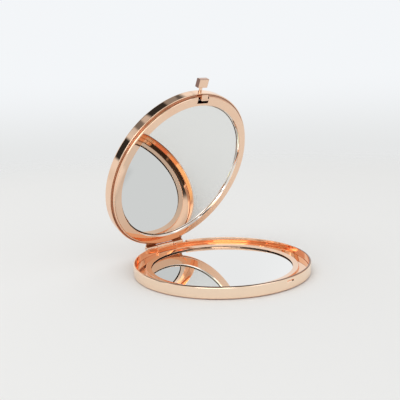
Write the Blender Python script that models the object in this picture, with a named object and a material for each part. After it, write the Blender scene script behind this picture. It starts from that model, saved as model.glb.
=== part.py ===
"""Round handbag mirror: a drawn metal case with two mirrors, a barrel hinge and a push latch.

The case stands open, as it is used. The origin is the centre of the base's underside, +Z is up,
the hinge lies along X at the back (+Y) and the push button is at the front of the lid. All lid
pieces are modelled where they are when the case is shut, and a parent on the hinge axis opens them.
Sizes are in metres.
"""

import math

import bmesh
import bpy
from mathutils import Matrix, Vector

# The case as a whole
CASE_RADIUS = 0.035
LID_HEIGHT = 0.0037
SHELL_SHEET = 0.0005
LINER_SHEET = 0.00035
LINER_ROUND = 0.00015
SHELL_EDGE_ROUND = 0.0007
RIM_ROUND = 0.00012
LID_OPENING = math.radians(66.7)

# Clearances between pieces, overruns of cuts and laps of joined shapes
SEAT_GAP = 0.0001
PARTING_GAP = 0.00015
RUNNING_GAP = 0.00008
KNUCKLE_GAP = 0.00015
SWING_GAP = 0.0002
CUT_OVERRUN = 0.001
JOIN_LAP = 0.00005

# Mirrors and what holds them
GLASS_THICKNESS = 0.0008
GLASS_ARRIS = 0.00012
PAD_THICKNESS = 0.00025
PAD_INSET = 0.0011
MIRROR_LAP = 0.0007

# Base frame: channel floor, raised bezel and lip over the mirror
CHANNEL_WIDTH = 0.00435
BEZEL_WIDTH = 0.00225
BEZEL_STEP = 0.0009
BEZEL_FALL = 0.00035
BEZEL_OVER_GLASS = 0.00085
BEZEL_ROUND = 0.0003
BEZEL_FOOT_ROUND = 0.0002
CLOSED_GAP = 0.001

# Lid frame: raised ring, recess for the mirror and flange inside the shell
RING_INSET = 0.00094
RING_WIDTH = 0.00356
RING_PROUD = 0.0012
RING_OUTER_ROUND = 0.00025
RING_INNER_ROUND = 0.00012
RECESS_DEPTH = 0.0011
RECESS_TAPER = 0.00035
SIDE_WALL_RISE = 0.0017

# Barrel hinge
HINGE_LENGTH = 0.0198
HINGE_SET_BACK = 0.0007
HINGE_DROP = 0.00075
KNUCKLE_RADIUS = 0.00105
PIN_RADIUS = 0.0005
PIN_END_PROUD = 0.00015
CENTRE_KNUCKLE_LENGTH = 0.009
LEAF_SHEET = 0.00045
BASE_LEAF_MARGIN = 0.0008
LID_LEAF_RISE = 0.0021
NOTCH_MARGIN = 0.0004
RIM_NOTCH_DEPTH = 0.00065

# Push latch
BUTTON_WIDTH = 0.0049
BUTTON_LENGTH = 0.0035
BUTTON_DEPTH = 0.0019
BUTTON_BEVEL = 0.0002
BUTTON_STANDOFF = 0.0019
BUTTON_TRAVEL = 0.0011
SOCKET_DEPTH = 0.0014
STEM_RADIUS = 0.00065
STEM_HEAD_RADIUS = 0.0011
STEM_HEAD_THICKNESS = 0.0003
HOOK_WIDTH = 0.0046
HOOK_SHEET = 0.0006
HOOK_PROUD = 0.00085
HOOK_TOP_MARGIN = 0.0006
FOOT_DEPTH = 0.00095
FOOT_CORNER = 0.0007
STALK_WIDTH = 0.0034
NOSE_WIDTH = 0.0032
NOSE_TIP = 0.0003
WINDOW_SIDE_GAP = 0.0005
WINDOW_BACK_GAP = 0.0005
WINDOW_NOTCH_RISE = 0.0007
SPRING_SPAN = 0.015
SPRING_SHEET = 0.0002
SPRING_WIDTH = 0.0014

# Smoothness of the round forms
RING_STEPS = 72
ROD_STEPS = 24
SMALL_ROD_STEPS = 16
CORNER_STEPS = 2
ARC_STEPS = 8
SPRING_STEPS = 14
BEVEL_STEPS = 2
SHARP_ANGLE = math.radians(35)
WELD_DISTANCE = 0.000001

# Heights in the base, from the table up
SHELL_IN = CASE_RADIUS - SHELL_SHEET
SHELL_INNER_ROUND = SHELL_EDGE_ROUND - SHELL_SHEET
PAD_BOTTOM = SHELL_SHEET + SEAT_GAP
GLASS_BOTTOM = PAD_BOTTOM + PAD_THICKNESS + SEAT_GAP
GLASS_TOP = GLASS_BOTTOM + GLASS_THICKNESS
BEZEL_TOP = GLASS_TOP + BEZEL_OVER_GLASS
CHANNEL_FLOOR = BEZEL_TOP - BEZEL_STEP

# Heights in the lid when the case is shut
RING_FACE = BEZEL_TOP + CLOSED_GAP
LID_RIM = RING_FACE + RING_PROUD
BASE_HEIGHT = LID_RIM - PARTING_GAP
LID_TOP = LID_RIM + LID_HEIGHT
LID_GLASS_FACE = RING_FACE + RECESS_DEPTH
LID_GLASS_BACK = LID_GLASS_FACE + GLASS_THICKNESS
LID_PAD_FACE = LID_GLASS_BACK + SEAT_GAP
DISH_FLOOR = LID_PAD_FACE + PAD_THICKNESS + SEAT_GAP
DISH_BACK = DISH_FLOOR + LINER_SHEET
SIDE_WALL_TOP = RING_FACE + SIDE_WALL_RISE

# Radii of the two frames
BEZEL_OUT = SHELL_IN - CHANNEL_WIDTH
BEZEL_IN = BEZEL_OUT - BEZEL_WIDTH
LINER_OUT = SHELL_IN - SEAT_GAP
RING_OUT = CASE_RADIUS - RING_INSET
SIDE_WALL_IN = RING_OUT - LINER_SHEET
RING_IN = RING_OUT - RING_WIDTH
RECESS_RADIUS = RING_IN - RECESS_TAPER
DISH_OUT = RECESS_RADIUS + LINER_SHEET

# Hinge places
HINGE_Y = CASE_RADIUS + HINGE_SET_BACK
HINGE_Z = BASE_HEIGHT - HINGE_DROP
OUTER_KNUCKLE_START = CENTRE_KNUCKLE_LENGTH / 2 + KNUCKLE_GAP
LEAF_OUT = SHELL_IN - SEAT_GAP
LEAF_IN = LEAF_OUT - LEAF_SHEET
LEAF_MIDDLE = (LEAF_OUT + LEAF_IN) / 2
BASE_TAB_BOTTOM = HINGE_Z - KNUCKLE_RADIUS + JOIN_LAP
BASE_TAB_TOP = BASE_TAB_BOTTOM + LEAF_SHEET
LID_TAB_TOP = HINGE_Z + KNUCKLE_RADIUS - JOIN_LAP
LID_TAB_BOTTOM = LID_TAB_TOP - LEAF_SHEET
NOTCH_HALF = HINGE_LENGTH / 2 + NOTCH_MARGIN
BASE_LEAF_HALF = CENTRE_KNUCKLE_LENGTH / 2 + BASE_LEAF_MARGIN

# Latch places, in the shut case, with distances counted from the case's centre to the front
BUTTON_Z = (LID_RIM + LID_TOP) / 2
HOOK_HALF = HOOK_WIDTH / 2
NOSE_HALF = NOSE_WIDTH / 2
HOOK_FRONT = math.sqrt(SIDE_WALL_IN ** 2 - HOOK_HALF ** 2) - SEAT_GAP
HOOK_BACK = HOOK_FRONT - HOOK_SHEET
HOOK_BOTTOM = RING_FACE - HOOK_PROUD
HOOK_TOP = BUTTON_Z + STEM_RADIUS + HOOK_TOP_MARGIN
NOSE_TOP = RING_FACE - SEAT_GAP
NOSE_END = CASE_RADIUS - SEAT_GAP
SHOULDER_FRONT = math.sqrt(SHELL_IN ** 2 - STEM_HEAD_RADIUS ** 2) - SEAT_GAP
SHOULDER_BACK = HOOK_FRONT + SEAT_GAP
HEAD_FRONT = HOOK_BACK - SEAT_GAP
HEAD_BACK = HEAD_FRONT - STEM_HEAD_THICKNESS
SPRING_FRONT = HEAD_BACK - SEAT_GAP
SPRING_TOP = DISH_BACK - SEAT_GAP
SPRING_BOTTOM = SPRING_TOP - SPRING_WIDTH
BUTTON_NEAR = CASE_RADIUS + BUTTON_STANDOFF
BUTTON_FAR = BUTTON_NEAR + BUTTON_LENGTH
WINDOW_BACK = HOOK_BACK - BUTTON_TRAVEL - WINDOW_BACK_GAP
WINDOW_HALF = HOOK_HALF + WINDOW_SIDE_GAP

# Finishes: colour, roughness, metallic
ROSE_GOLD = ("rose_gold_plate", (0.86, 0.56, 0.42, 1.0), 0.08, 1.0)
BRIGHT_STEEL = ("bright_steel", (0.72, 0.71, 0.70, 1.0), 0.18, 1.0)
SPRING_STEEL = ("spring_steel", (0.42, 0.42, 0.44, 1.0), 0.30, 1.0)
SILVERED_GLASS = ("silvered_glass", (0.93, 0.94, 0.94, 1.0), 0.02, 1.0)
ADHESIVE_FOAM = ("adhesive_foam", (0.82, 0.81, 0.78, 1.0), 0.90, 0.0)


def clear_scene():
    """Remove every object that is in the scene."""
    for old in list(bpy.data.objects):
        bpy.data.objects.remove(old, do_unlink=True)


def finish_of(finish):
    """Return the material of a finish, made the first time that it is asked for."""
    name, colour, roughness, metallic = finish
    material = bpy.data.materials.get(name)
    if material is None:
        material = bpy.data.materials.new(name)
        material.use_nodes = True
        shader = material.node_tree.nodes["Principled BSDF"]
        shader.inputs["Base Color"].default_value = colour
        shader.inputs["Roughness"].default_value = roughness
        shader.inputs["Metallic"].default_value = metallic
        material.diffuse_color = colour
    return material


def add_object(name, bm, finish=None):
    """Turn a bmesh into an object with outward faces, smooth between its sharp edges."""
    bmesh.ops.recalc_face_normals(bm, faces=bm.faces)
    mesh = bpy.data.meshes.new(name)
    bm.to_mesh(mesh)
    bm.free()
    mesh.shade_smooth()
    mesh.set_sharp_from_angle(angle=SHARP_ANGLE)
    piece = bpy.data.objects.new(name, mesh)
    bpy.context.scene.collection.objects.link(piece)
    if finish:
        mesh.materials.append(finish_of(finish))
    return piece


def rounded(corners):
    """Replace each corner (u, v, radius) of a path by an arc, and return plain points."""
    points = []
    for index, (u, v, radius) in enumerate(corners):
        here = Vector((u, v))
        if not radius:
            points.append(here)
            continue
        before = Vector(corners[index - 1][:2]) - here
        after = Vector(corners[(index + 1) % len(corners)][:2]) - here
        half = before.angle(after) / 2
        centre = here + (before.normalized() + after.normalized()).normalized() * (radius / math.sin(half))
        start = here + before.normalized() * (radius / math.tan(half)) - centre
        end = here + after.normalized() * (radius / math.tan(half)) - centre
        sweep = start.angle_signed(end)
        for step in range(CORNER_STEPS + 1):
            turn = Matrix.Rotation(-sweep * step / CORNER_STEPS, 2)
            points.append(centre + turn @ start)
    return points


def turned(name, corners, finish, closed=False, place=None, steps=RING_STEPS):
    """Turn a profile of (radius, height, corner radius) about Z, then move it by the matrix place."""
    bm = bmesh.new()
    profile = [bm.verts.new((point.x, 0.0, point.y)) for point in rounded(corners)]
    pairs = list(zip(profile, profile[1:]))
    if closed:
        pairs.append((profile[-1], profile[0]))
    edges = [bm.edges.new(pair) for pair in pairs]
    bmesh.ops.spin(bm, geom=profile + edges, cent=(0, 0, 0), axis=(0, 0, 1),
                   angle=math.tau, steps=steps, use_merge=True)
    bmesh.ops.remove_doubles(bm, verts=bm.verts, dist=WELD_DISTANCE)
    if place:
        bmesh.ops.transform(bm, matrix=place, verts=bm.verts)
    return add_object(name, bm, finish)


def along_x(u, v, w):
    """Place an outline drawn in Y and Z at the distance w along X."""
    return (w, u, v)


def along_y(u, v, w):
    """Place an outline drawn in X and Z at the distance w along Y."""
    return (u, w, v)


def along_z(u, v, w):
    """Place an outline drawn in X and Y at the height w."""
    return (u, v, w)


def prism(name, outline, direction, low, high, finish=None):
    """Extrude an outline of (u, v) points from low to high in a direction."""
    bm = bmesh.new()
    face = bm.faces.new([bm.verts.new(direction(u, v, low)) for u, v in outline])
    raised = bmesh.ops.extrude_face_region(bm, geom=[face])["geom"]
    offset = Vector(direction(0, 0, high)) - Vector(direction(0, 0, low))
    tops = [item for item in raised if isinstance(item, bmesh.types.BMVert)]
    bmesh.ops.translate(bm, verts=tops, vec=offset)
    return add_object(name, bm, finish)


def arc(radius, start, end, steps, centre=(0, 0)):
    """Return points on an arc between two angles, both ends included."""
    angles = [start + (end - start) * step / steps for step in range(steps + 1)]
    return [(centre[0] + radius * math.cos(a), centre[1] + radius * math.sin(a)) for a in angles]


def circle(radius, steps, centre=(0, 0)):
    """Return the points of a full circle."""
    return arc(radius, 0, math.tau, steps, centre)[:-1]


def block(name, low, high, finish=None):
    """Make a box between two corners."""
    outline = [(low[0], low[1]), (high[0], low[1]), (high[0], high[1]), (low[0], high[1])]
    return prism(name, outline, along_z, low[2], high[2], finish)


def apply_tool(target, tool, operation):
    """Cut a tool out of a target, or join it on, with the tool kept as a hidden guide."""
    tool.hide_render = True
    tool.display_type = 'WIRE'
    step = target.modifiers.new(tool.name, 'BOOLEAN')
    step.operation = operation
    step.solver = 'EXACT'
    step.object = tool


def cut(target, *tools):
    """Cut each tool out of the target."""
    for tool in tools:
        apply_tool(target, tool, 'DIFFERENCE')


def join(target, *tools):
    """Join each tool to the target, so that they are one body."""
    for tool in tools:
        apply_tool(target, tool, 'UNION')


def strip_outline(half_width):
    """Outline, seen from above, of a leaf that follows the inside of a shell's back wall."""
    reach = math.asin(half_width / LEAF_OUT)
    middle = math.pi / 2
    outside = arc(LEAF_OUT, middle - reach, middle + reach, ARC_STEPS)
    inside = arc(LEAF_IN, middle + reach, middle - reach, ARC_STEPS)
    return outside + inside


def tab_outline(half, edge):
    """Outline, seen from above, of a tab from the middle of a leaf out to an edge of (x, y) points."""
    reach = math.asin(half / LEAF_MIDDLE)
    middle = math.pi / 2
    return arc(LEAF_MIDDLE, middle - reach, middle + reach, ARC_STEPS) + edge


def knuckle(name, start, end):
    """Solid knuckle on the hinge axis, which the bore is cut through later."""
    return prism(name, circle(KNUCKLE_RADIUS, ROD_STEPS, (HINGE_Y, HINGE_Z)), along_x, start, end)


def hinge_bore(name):
    """Cutter for the pin's hole through a leaf's knuckles."""
    reach = HINGE_LENGTH / 2 + CUT_OVERRUN
    outline = circle(PIN_RADIUS + RUNNING_GAP, SMALL_ROD_STEPS, (HINGE_Y, HINGE_Z))
    return prism(name, outline, along_x, -reach, reach)


def make_base_shell():
    """Drawn pan, notched at the back for the hinge, with a slot for the latch nose in front."""
    shell = turned("base_shell", [
        (0, 0, 0),
        (CASE_RADIUS, 0, SHELL_EDGE_ROUND),
        (CASE_RADIUS, BASE_HEIGHT, RIM_ROUND),
        (SHELL_IN, BASE_HEIGHT, RIM_ROUND),
        (SHELL_IN, SHELL_SHEET, SHELL_INNER_ROUND),
        (0, SHELL_SHEET, 0),
    ], ROSE_GOLD)
    tab_half = CENTRE_KNUCKLE_LENGTH / 2 + NOTCH_MARGIN
    tab_notch = block("base_tab_notch",
                      (-tab_half, CASE_RADIUS / 2, BASE_TAB_BOTTOM - SWING_GAP),
                      (tab_half, CASE_RADIUS + CUT_OVERRUN, BASE_HEIGHT + CUT_OVERRUN))
    rim_notch = block("base_rim_notch",
                      (-NOTCH_HALF, CASE_RADIUS / 2, BASE_HEIGHT - RIM_NOTCH_DEPTH),
                      (NOTCH_HALF, CASE_RADIUS + CUT_OVERRUN, BASE_HEIGHT + CUT_OVERRUN))
    nose_slope = (NOSE_TOP - NOSE_TIP - HOOK_BOTTOM) / (NOSE_END - HOOK_FRONT)
    slot_bottom = NOSE_TOP - NOSE_TIP - SHELL_SHEET * nose_slope - SEAT_GAP
    slot = block("latch_slot",
                 (-NOSE_HALF - SWING_GAP, -CASE_RADIUS - CUT_OVERRUN, slot_bottom),
                 (NOSE_HALF + SWING_GAP, -SHELL_IN + SHELL_SHEET, NOSE_TOP + SEAT_GAP))
    cut(shell, tab_notch, rim_notch, slot)
    return shell


def make_base_mirror_frame():
    """Stamped ring: outer flange, channel floor, raised bezel and the lip over the mirror."""
    lip_top = BEZEL_TOP - BEZEL_FALL
    return turned("base_mirror_frame", [
        (LINER_OUT, PAD_BOTTOM, 0),
        (LINER_OUT, CHANNEL_FLOOR, LINER_ROUND),
        (BEZEL_OUT, CHANNEL_FLOOR, BEZEL_FOOT_ROUND),
        (BEZEL_OUT, BEZEL_TOP, BEZEL_ROUND),
        (BEZEL_IN, lip_top, 0),
        (BEZEL_IN, lip_top - LINER_SHEET, 0),
        (BEZEL_OUT - LINER_SHEET, BEZEL_TOP - LINER_SHEET, 0),
        (BEZEL_OUT - LINER_SHEET, CHANNEL_FLOOR - LINER_SHEET, 0),
        (LINER_OUT - LINER_SHEET, CHANNEL_FLOOR - LINER_SHEET, 0),
        (LINER_OUT - LINER_SHEET, PAD_BOTTOM, 0),
    ], ROSE_GOLD, closed=True)


def make_mirror(name, radius, low, high):
    """Round mirror glass with a fine arris on both edges."""
    return turned(name, [
        (0, low, 0),
        (radius - GLASS_ARRIS, low, 0),
        (radius, low + GLASS_ARRIS, 0),
        (radius, high - GLASS_ARRIS, 0),
        (radius - GLASS_ARRIS, high, 0),
        (0, high, 0),
    ], SILVERED_GLASS)


def make_pad(name, radius, low):
    """Adhesive disc between a mirror and the metal behind it."""
    high = low + PAD_THICKNESS
    return turned(name, [(0, low, 0), (radius, low, 0), (radius, high, 0), (0, high, 0)], ADHESIVE_FOAM)


def make_base_hinge_leaf():
    """Leaf inside the base wall whose tab goes out through the notch to the centre knuckle."""
    half = CENTRE_KNUCKLE_LENGTH / 2
    leaf = prism("base_hinge_leaf", strip_outline(BASE_LEAF_HALF), along_z,
                 CHANNEL_FLOOR + SEAT_GAP, BASE_TAB_TOP + JOIN_LAP, ROSE_GOLD)
    edge = [(-half, HINGE_Y), (half, HINGE_Y)]
    tab = prism("base_tab", tab_outline(half, edge), along_z, BASE_TAB_BOTTOM, BASE_TAB_TOP)
    join(leaf, tab, knuckle("base_knuckle", -half, half))
    cut(leaf, hinge_bore("base_knuckle_bore"))
    return leaf


def make_hinge_pin():
    """Steel pin through the three knuckles, with rounded ends."""
    reach = HINGE_LENGTH / 2 + PIN_END_PROUD
    place = Matrix.Translation((0, HINGE_Y, HINGE_Z)) @ Matrix.Rotation(math.pi / 2, 4, 'Y')
    end_round = PIN_RADIUS / 2
    return turned("hinge_pin", [
        (0, -reach, 0),
        (PIN_RADIUS, -reach, end_round),
        (PIN_RADIUS, reach, end_round),
        (0, reach, 0),
    ], BRIGHT_STEEL, place=place, steps=SMALL_ROD_STEPS)


def make_lid_shell():
    """Drawn lid with a notch over the hinge and a hole for the button's stem."""
    shell = turned("lid_shell", [
        (0, LID_TOP, 0),
        (CASE_RADIUS, LID_TOP, SHELL_EDGE_ROUND),
        (CASE_RADIUS, LID_RIM, RIM_ROUND),
        (SHELL_IN, LID_RIM, RIM_ROUND),
        (SHELL_IN, LID_TOP - SHELL_SHEET, SHELL_INNER_ROUND),
        (0, LID_TOP - SHELL_SHEET, 0),
    ], ROSE_GOLD)
    notch = block("lid_hinge_notch",
                  (-NOTCH_HALF, CASE_RADIUS / 2, LID_RIM - CUT_OVERRUN),
                  (NOTCH_HALF, CASE_RADIUS + CUT_OVERRUN, LID_TAB_TOP + SWING_GAP))
    hole = prism("stem_hole", circle(STEM_RADIUS + SEAT_GAP, ROD_STEPS, (0, BUTTON_Z)), along_y,
                 -CASE_RADIUS - CUT_OVERRUN, -SHELL_IN + CUT_OVERRUN)
    cut(shell, notch, hole)
    return shell


def make_lid_mirror_frame():
    """Stamped dish: flat raised ring, mirror recess, and a side wall with a flange in the shell."""
    frame = turned("lid_mirror_frame", [
        (0, DISH_FLOOR, 0),
        (RECESS_RADIUS, DISH_FLOOR, LINER_ROUND),
        (RECESS_RADIUS, LID_GLASS_FACE, 0),
        (RING_IN, RING_FACE, RING_INNER_ROUND),
        (RING_OUT, RING_FACE, RING_OUTER_ROUND),
        (RING_OUT, SIDE_WALL_TOP - LINER_SHEET, 0),
        (LINER_OUT, SIDE_WALL_TOP - LINER_SHEET, 0),
        (LINER_OUT, SIDE_WALL_TOP, 0),
        (SIDE_WALL_IN, SIDE_WALL_TOP, 0),
        (SIDE_WALL_IN, RING_FACE + LINER_SHEET, 0),
        (RING_IN + LINER_SHEET, RING_FACE + LINER_SHEET, 0),
        (DISH_OUT, LID_GLASS_FACE, 0),
        (DISH_OUT, DISH_BACK, 0),
        (0, DISH_BACK, 0),
    ], ROSE_GOLD)
    window = block("latch_window",
                   (-WINDOW_HALF, -RING_OUT - SEAT_GAP, RING_FACE - CUT_OVERRUN),
                   (WINDOW_HALF, -WINDOW_BACK, RING_FACE + WINDOW_NOTCH_RISE))
    leaf_room_front = math.sqrt(LEAF_IN ** 2 - NOTCH_HALF ** 2) - LEAF_SHEET
    leaf_room = block("lid_leaf_room",
                      (-NOTCH_HALF, leaf_room_front, LID_TAB_BOTTOM - SWING_GAP),
                      (NOTCH_HALF, CASE_RADIUS, SIDE_WALL_TOP + CUT_OVERRUN))
    cut(frame, window, leaf_room)
    return frame


def make_lid_hinge_leaf():
    """Leaf inside the lid wall whose tabs come out under the wall to the two outer knuckles."""
    half = HINGE_LENGTH / 2
    leaf = prism("lid_hinge_leaf", strip_outline(half), along_z,
                 LID_TAB_BOTTOM - JOIN_LAP, LID_TAB_TOP + LID_LEAF_RISE, ROSE_GOLD)
    lift = LID_TAB_BOTTOM - HINGE_Z
    clear_edge = HINGE_Y - math.sqrt((KNUCKLE_RADIUS + KNUCKLE_GAP) ** 2 - lift ** 2)
    edge = [(-half, HINGE_Y), (-OUTER_KNUCKLE_START, HINGE_Y), (-OUTER_KNUCKLE_START, clear_edge),
            (OUTER_KNUCKLE_START, clear_edge), (OUTER_KNUCKLE_START, HINGE_Y), (half, HINGE_Y)]
    tabs = prism("lid_tabs", tab_outline(half, edge), along_z, LID_TAB_BOTTOM, LID_TAB_TOP)
    join(leaf, tabs, knuckle("lid_knuckle_left", -half, -OUTER_KNUCKLE_START),
         knuckle("lid_knuckle_right", OUTER_KNUCKLE_START, half))
    cut(leaf, hinge_bore("lid_knuckle_bore"))
    return leaf


def make_return_spring():
    """Bowed leaf spring between the dish wall and the riveted end of the stem."""
    half = SPRING_SPAN / 2
    seat = math.sqrt((DISH_OUT + SEAT_GAP) ** 2 - half ** 2) + SPRING_SHEET
    bow = SPRING_FRONT - seat
    radius = (half ** 2 + bow ** 2) / (2 * bow)
    centre = (0, radius - SPRING_FRONT)
    reach = math.asin(half / radius)
    middle = -math.pi / 2
    outline = arc(radius, middle - reach, middle + reach, SPRING_STEPS, centre)
    outline += arc(radius - SPRING_SHEET, middle + reach, middle - reach, SPRING_STEPS, centre)
    return prism("return_spring", outline, along_z, SPRING_BOTTOM, SPRING_TOP, SPRING_STEEL)


def make_push_button():
    """Bevelled block with a blind hole that the stem is pressed into."""
    bm = bmesh.new()
    bmesh.ops.create_cube(bm, size=1)
    bmesh.ops.scale(bm, vec=(BUTTON_WIDTH, BUTTON_LENGTH, BUTTON_DEPTH), verts=bm.verts)
    bmesh.ops.translate(bm, vec=(0, -(BUTTON_NEAR + BUTTON_FAR) / 2, BUTTON_Z), verts=bm.verts)
    bmesh.ops.bevel(bm, geom=bm.edges, offset=BUTTON_BEVEL, segments=BEVEL_STEPS, profile=0.5,
                    affect='EDGES')
    button = add_object("push_button", bm, ROSE_GOLD)
    socket = prism("stem_socket", circle(STEM_RADIUS + SEAT_GAP, SMALL_ROD_STEPS, (0, BUTTON_Z)), along_y,
                   -BUTTON_NEAR - SOCKET_DEPTH, -BUTTON_NEAR + CUT_OVERRUN)
    cut(button, socket)
    return button


def make_button_stem():
    """Turned stem with a shoulder in front of the hook plate and a riveted head behind it."""
    outer_end = BUTTON_NEAR + SOCKET_DEPTH - SEAT_GAP
    place = Matrix.Translation((0, 0, BUTTON_Z)) @ Matrix.Rotation(math.pi / 2, 4, 'X')
    return turned("button_stem", [
        (0, outer_end, 0),
        (STEM_RADIUS, outer_end, 0),
        (STEM_RADIUS, SHOULDER_FRONT, 0),
        (STEM_HEAD_RADIUS, SHOULDER_FRONT, 0),
        (STEM_HEAD_RADIUS, SHOULDER_BACK, 0),
        (STEM_RADIUS, SHOULDER_BACK, 0),
        (STEM_RADIUS, HEAD_FRONT, 0),
        (STEM_HEAD_RADIUS, HEAD_FRONT, 0),
        (STEM_HEAD_RADIUS, HEAD_BACK, STEM_HEAD_THICKNESS / 2),
        (0, HEAD_BACK, 0),
    ], ROSE_GOLD, place=place, steps=SMALL_ROD_STEPS)


def make_latch_hook():
    """Hook plate on the stem, with a round-cornered foot and a nose that snaps past the rim."""
    inside = -(HOOK_FRONT + HOOK_BACK) / 2
    stalk_half = STALK_WIDTH / 2
    stalk_bottom = HOOK_BOTTOM + JOIN_LAP
    nose_bottom = stalk_bottom + JOIN_LAP
    hook = block("latch_hook", (-stalk_half, -HOOK_FRONT, stalk_bottom),
                 (stalk_half, -HOOK_BACK, HOOK_TOP), ROSE_GOLD)
    foot_front = HOOK_FRONT - SEAT_GAP
    foot = prism("latch_foot", [(point.x, point.y) for point in rounded([
        (-HOOK_HALF, -foot_front, 0),
        (HOOK_HALF, -foot_front, 0),
        (HOOK_HALF, -HOOK_FRONT + FOOT_DEPTH, FOOT_CORNER),
        (-HOOK_HALF, -HOOK_FRONT + FOOT_DEPTH, FOOT_CORNER),
    ])], along_z, HOOK_BOTTOM, NOSE_TOP - JOIN_LAP)
    nose = prism("latch_nose", [
        (inside, NOSE_TOP),
        (-NOSE_END, NOSE_TOP),
        (-NOSE_END, NOSE_TOP - NOSE_TIP),
        (-HOOK_FRONT, nose_bottom),
        (inside, nose_bottom),
    ], along_x, -NOSE_HALF, NOSE_HALF)
    hole = prism("hook_hole", circle(STEM_RADIUS + SEAT_GAP, SMALL_ROD_STEPS, (0, BUTTON_Z)), along_y,
                 -HOOK_FRONT - CUT_OVERRUN, -HOOK_BACK + CUT_OVERRUN)
    join(hook, foot, nose)
    cut(hook, hole)
    return hook


def add_axis(name, place, parent=None):
    """Empty that stands on a joint's axis, in the shut case, and carries what moves on it."""
    axis = bpy.data.objects.new(name, None)
    bpy.context.scene.collection.objects.link(axis)
    axis.parent = parent
    axis.location = place
    return axis


def hang(axis, place, pieces):
    """Hang pieces, and the guides that shape them, on an axis that stands at a place."""
    for piece in pieces:
        guides = [step.object for step in piece.modifiers]
        for part in [piece] + guides:
            part.parent = axis
            part.location = -place


def main():
    """Build the case and open its lid."""
    clear_scene()

    make_base_shell()
    make_base_mirror_frame()
    base_mirror_radius = BEZEL_IN + MIRROR_LAP
    make_mirror("base_mirror", base_mirror_radius, GLASS_BOTTOM, GLASS_TOP)
    make_pad("base_mirror_pad", base_mirror_radius - PAD_INSET, PAD_BOTTOM)
    make_base_hinge_leaf()
    make_hinge_pin()

    lid_mirror_radius = RECESS_RADIUS - SEAT_GAP
    lid_pieces = [
        make_lid_shell(),
        make_lid_mirror_frame(),
        make_mirror("lid_mirror", lid_mirror_radius, LID_GLASS_FACE, LID_GLASS_BACK),
        make_pad("lid_mirror_pad", lid_mirror_radius - PAD_INSET, LID_PAD_FACE),
        make_lid_hinge_leaf(),
        make_return_spring(),
    ]
    latch_pieces = [make_push_button(), make_button_stem(), make_latch_hook()]

    hinge_place = Vector((0, HINGE_Y, HINGE_Z))
    press_place = Vector((0, -CASE_RADIUS, BUTTON_Z))
    hinge_axis = add_axis("lid_hinge_axis", hinge_place)
    press_axis = add_axis("button_press_axis", press_place - hinge_place, hinge_axis)
    hang(hinge_axis, hinge_place, lid_pieces)
    hang(press_axis, press_place, latch_pieces)
    hinge_axis.rotation_euler.x = -LID_OPENING
    bpy.context.view_layer.update()


main()
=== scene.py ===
"""Round handbag mirror in polished rose gold: its fine pieces, finishes, light and camera.

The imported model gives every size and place. Each metal piece and mirror of it is modelled again here
with smooth rounds and clean edges, in the position that it has when the case is shut, and the pieces
of the lid are then swung open about the hinge. Sizes are in metres.
"""

from __future__ import annotations

import logging
import math
from contextlib import contextmanager
from dataclasses import dataclass, field
from enum import Enum
from typing import Any, Callable, Iterator, Sequence

import bmesh
import bpy
from mathutils import Matrix, Vector


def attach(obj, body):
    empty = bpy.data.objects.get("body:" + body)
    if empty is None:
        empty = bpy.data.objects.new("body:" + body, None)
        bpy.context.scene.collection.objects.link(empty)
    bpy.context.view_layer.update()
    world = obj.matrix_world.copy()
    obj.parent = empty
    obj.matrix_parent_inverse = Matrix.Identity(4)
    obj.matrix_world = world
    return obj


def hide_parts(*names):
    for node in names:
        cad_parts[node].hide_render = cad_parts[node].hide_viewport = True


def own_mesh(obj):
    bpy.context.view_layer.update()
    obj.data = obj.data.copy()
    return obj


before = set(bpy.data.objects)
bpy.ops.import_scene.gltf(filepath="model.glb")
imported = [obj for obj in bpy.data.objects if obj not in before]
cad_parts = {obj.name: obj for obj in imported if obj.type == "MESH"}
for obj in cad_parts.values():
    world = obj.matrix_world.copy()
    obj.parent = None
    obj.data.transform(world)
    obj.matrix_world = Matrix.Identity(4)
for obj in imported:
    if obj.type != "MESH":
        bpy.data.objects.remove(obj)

LOG = logging.getLogger("handbag_mirror")
MM = 0.001
UM = 0.000001
Colour = tuple[float, ...]
Material = bpy.types.Material


class Body(Enum):
    """The bodies that pieces ride on."""

    BASE = "base"
    LID = "lid"
    BUTTON = "button"


class Slot(Enum):
    """The record's material slots."""

    ROSE_GOLD = "rose_gold_plate"
    BRIGHT_STEEL = "bright_steel"
    SPRING_STEEL = "spring_steel"
    SILVERED_GLASS = "silvered_glass"


class Along(Enum):
    """The axis that a rod is laid along: its direction, and the turn that brings it there from Z."""

    X = ((1, 0, 0), (0.0, math.pi / 2, 0.0))
    Y = ((0, 1, 0), (math.pi / 2, 0.0, 0.0))


@dataclass(frozen=True)
class Station:
    """One corner of a turned profile: its radius, its height and how far it is rounded."""

    radius: float
    height: float
    rounding: float = 0.0
    segments: int = 4


@dataclass(frozen=True)
class Opening:
    """The hinge axis of the case and how far the lid stands open on it."""

    y: float = 35.7 * MM
    z: float = 3.9 * MM
    angle: float = math.radians(66.7)

    def matrix(self) -> Matrix:
        """Work out how the lid is opened.

        Returns:
            The move from the shut case to the open lid.
        """
        pivot = Vector((0.0, self.y, self.z))
        turn = Matrix.Rotation(-self.angle, 4, "X")
        return Matrix.Translation(pivot) @ turn @ Matrix.Translation(-pivot)


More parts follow.
